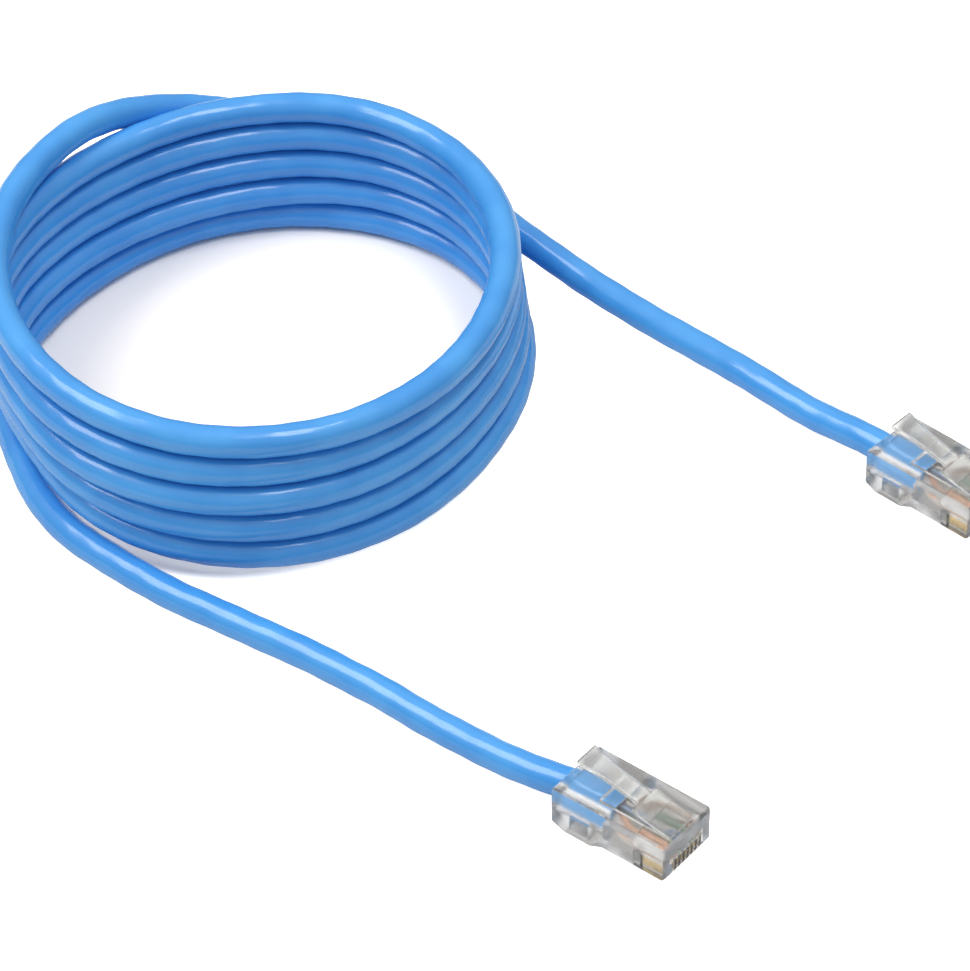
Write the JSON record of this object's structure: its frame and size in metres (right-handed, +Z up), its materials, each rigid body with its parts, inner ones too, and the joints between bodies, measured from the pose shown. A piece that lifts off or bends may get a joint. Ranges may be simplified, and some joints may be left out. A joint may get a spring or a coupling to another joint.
{
  "type": "ethernet patch cable",
  "caption": "Coiled round network cable with a clear modular plug on each end, each plug with contacts, fanned wires and a latch.",
  "frame": {"origin": "on the surface the cable lies on, below the middle of the box that holds the two plugs", "axes": "+Z up, +X to the right and +Y away from the viewer, as the cable lies with its coil at the far left and both plugs at the right"},
  "size_m": [0.1681, 0.1681, 0.0314],
  "materials": {
    "jacket": "glossy",
    "orange_pair": "smooth",
    "green_pair": "smooth",
    "blue_pair": "smooth",
    "brown_pair": "smooth",
    "white_orange_wire": "smooth",
    "orange_wire": "smooth",
    "white_green_wire": "smooth",
    "blue_wire": "smooth",
    "white_blue_wire": "smooth",
    "green_wire": "smooth",
    "white_brown_wire": "smooth",
    "brown_wire": "smooth",
    "clear_plug": "clear, glossy",
    "clear_latch": "clear, glossy",
    "clear_bar": "clear, glossy",
    "gold_contact": "gold plated"
  },
  "bodies": {
    "cable": {"near_lead": "jacket", "coil": "jacket", "far_lead": "jacket", "orange_pair": "orange_pair", "green_pair": "green_pair", "blue_pair": "blue_pair", "brown_pair": "brown_pair", "near_housing": "clear_plug", "near_jacket_end": "jacket", "near_strain_bar": "clear_bar", "near_wire_bar": "clear_bar", "far_housing": "clear_plug", "far_jacket_end": "jacket", "far_strain_bar": "clear_bar", "far_wire_bar": "clear_bar", "near_wire_1": "white_orange_wire", "near_wire_2": "orange_wire", "near_wire_3": "white_green_wire", "near_wire_4": "blue_wire", "near_wire_5": "white_blue_wire", "near_wire_6": "green_wire", "near_wire_7": "white_brown_wire", "near_wire_8": "brown_wire", "far_wire_1": "white_orange_wire", "far_wire_2": "orange_wire", "far_wire_3": "white_green_wire", "far_wire_4": "blue_wire", "far_wire_5": "white_blue_wire", "far_wire_6": "green_wire", "far_wire_7": "white_brown_wire", "far_wire_8": "brown_wire", "near_contact_1": "gold_contact", "near_contact_2": "gold_contact", "near_contact_3": "gold_contact", "near_contact_4": "gold_contact", "near_contact_5": "gold_contact", "near_contact_6": "gold_contact", "near_contact_7": "gold_contact", "near_contact_8": "gold_contact", "far_contact_1": "gold_contact", "far_contact_2": "gold_contact", "far_contact_3": "gold_contact", "far_contact_4": "gold_contact", "far_contact_5": "gold_contact", "far_contact_6": "gold_contact", "far_contact_7": "gold_contact", "far_contact_8": "gold_contact"},
    "near_latch": {"near_latch": "clear_latch"},
    "far_latch": {"far_latch": "clear_latch"}
  },
  "joints": [
    {"name": "near_latch_press", "type": "hinge", "parent": "cable", "child": "near_latch", "pos_m": [-0.01846, -0.04371, 0.0073], "axis": [-0.6184, -0.7859, 0], "range_deg": [0, 10], "stiffness_Nm_per_rad": 0.4},
    {"name": "far_latch_press", "type": "hinge", "parent": "cable", "child": "far_latch", "pos_m": [0.03257, 0.03156, 0.0073], "axis": [-0.6756, -0.7373, 0], "range_deg": [0, 10], "stiffness_Nm_per_rad": 0.4}
  ]
}
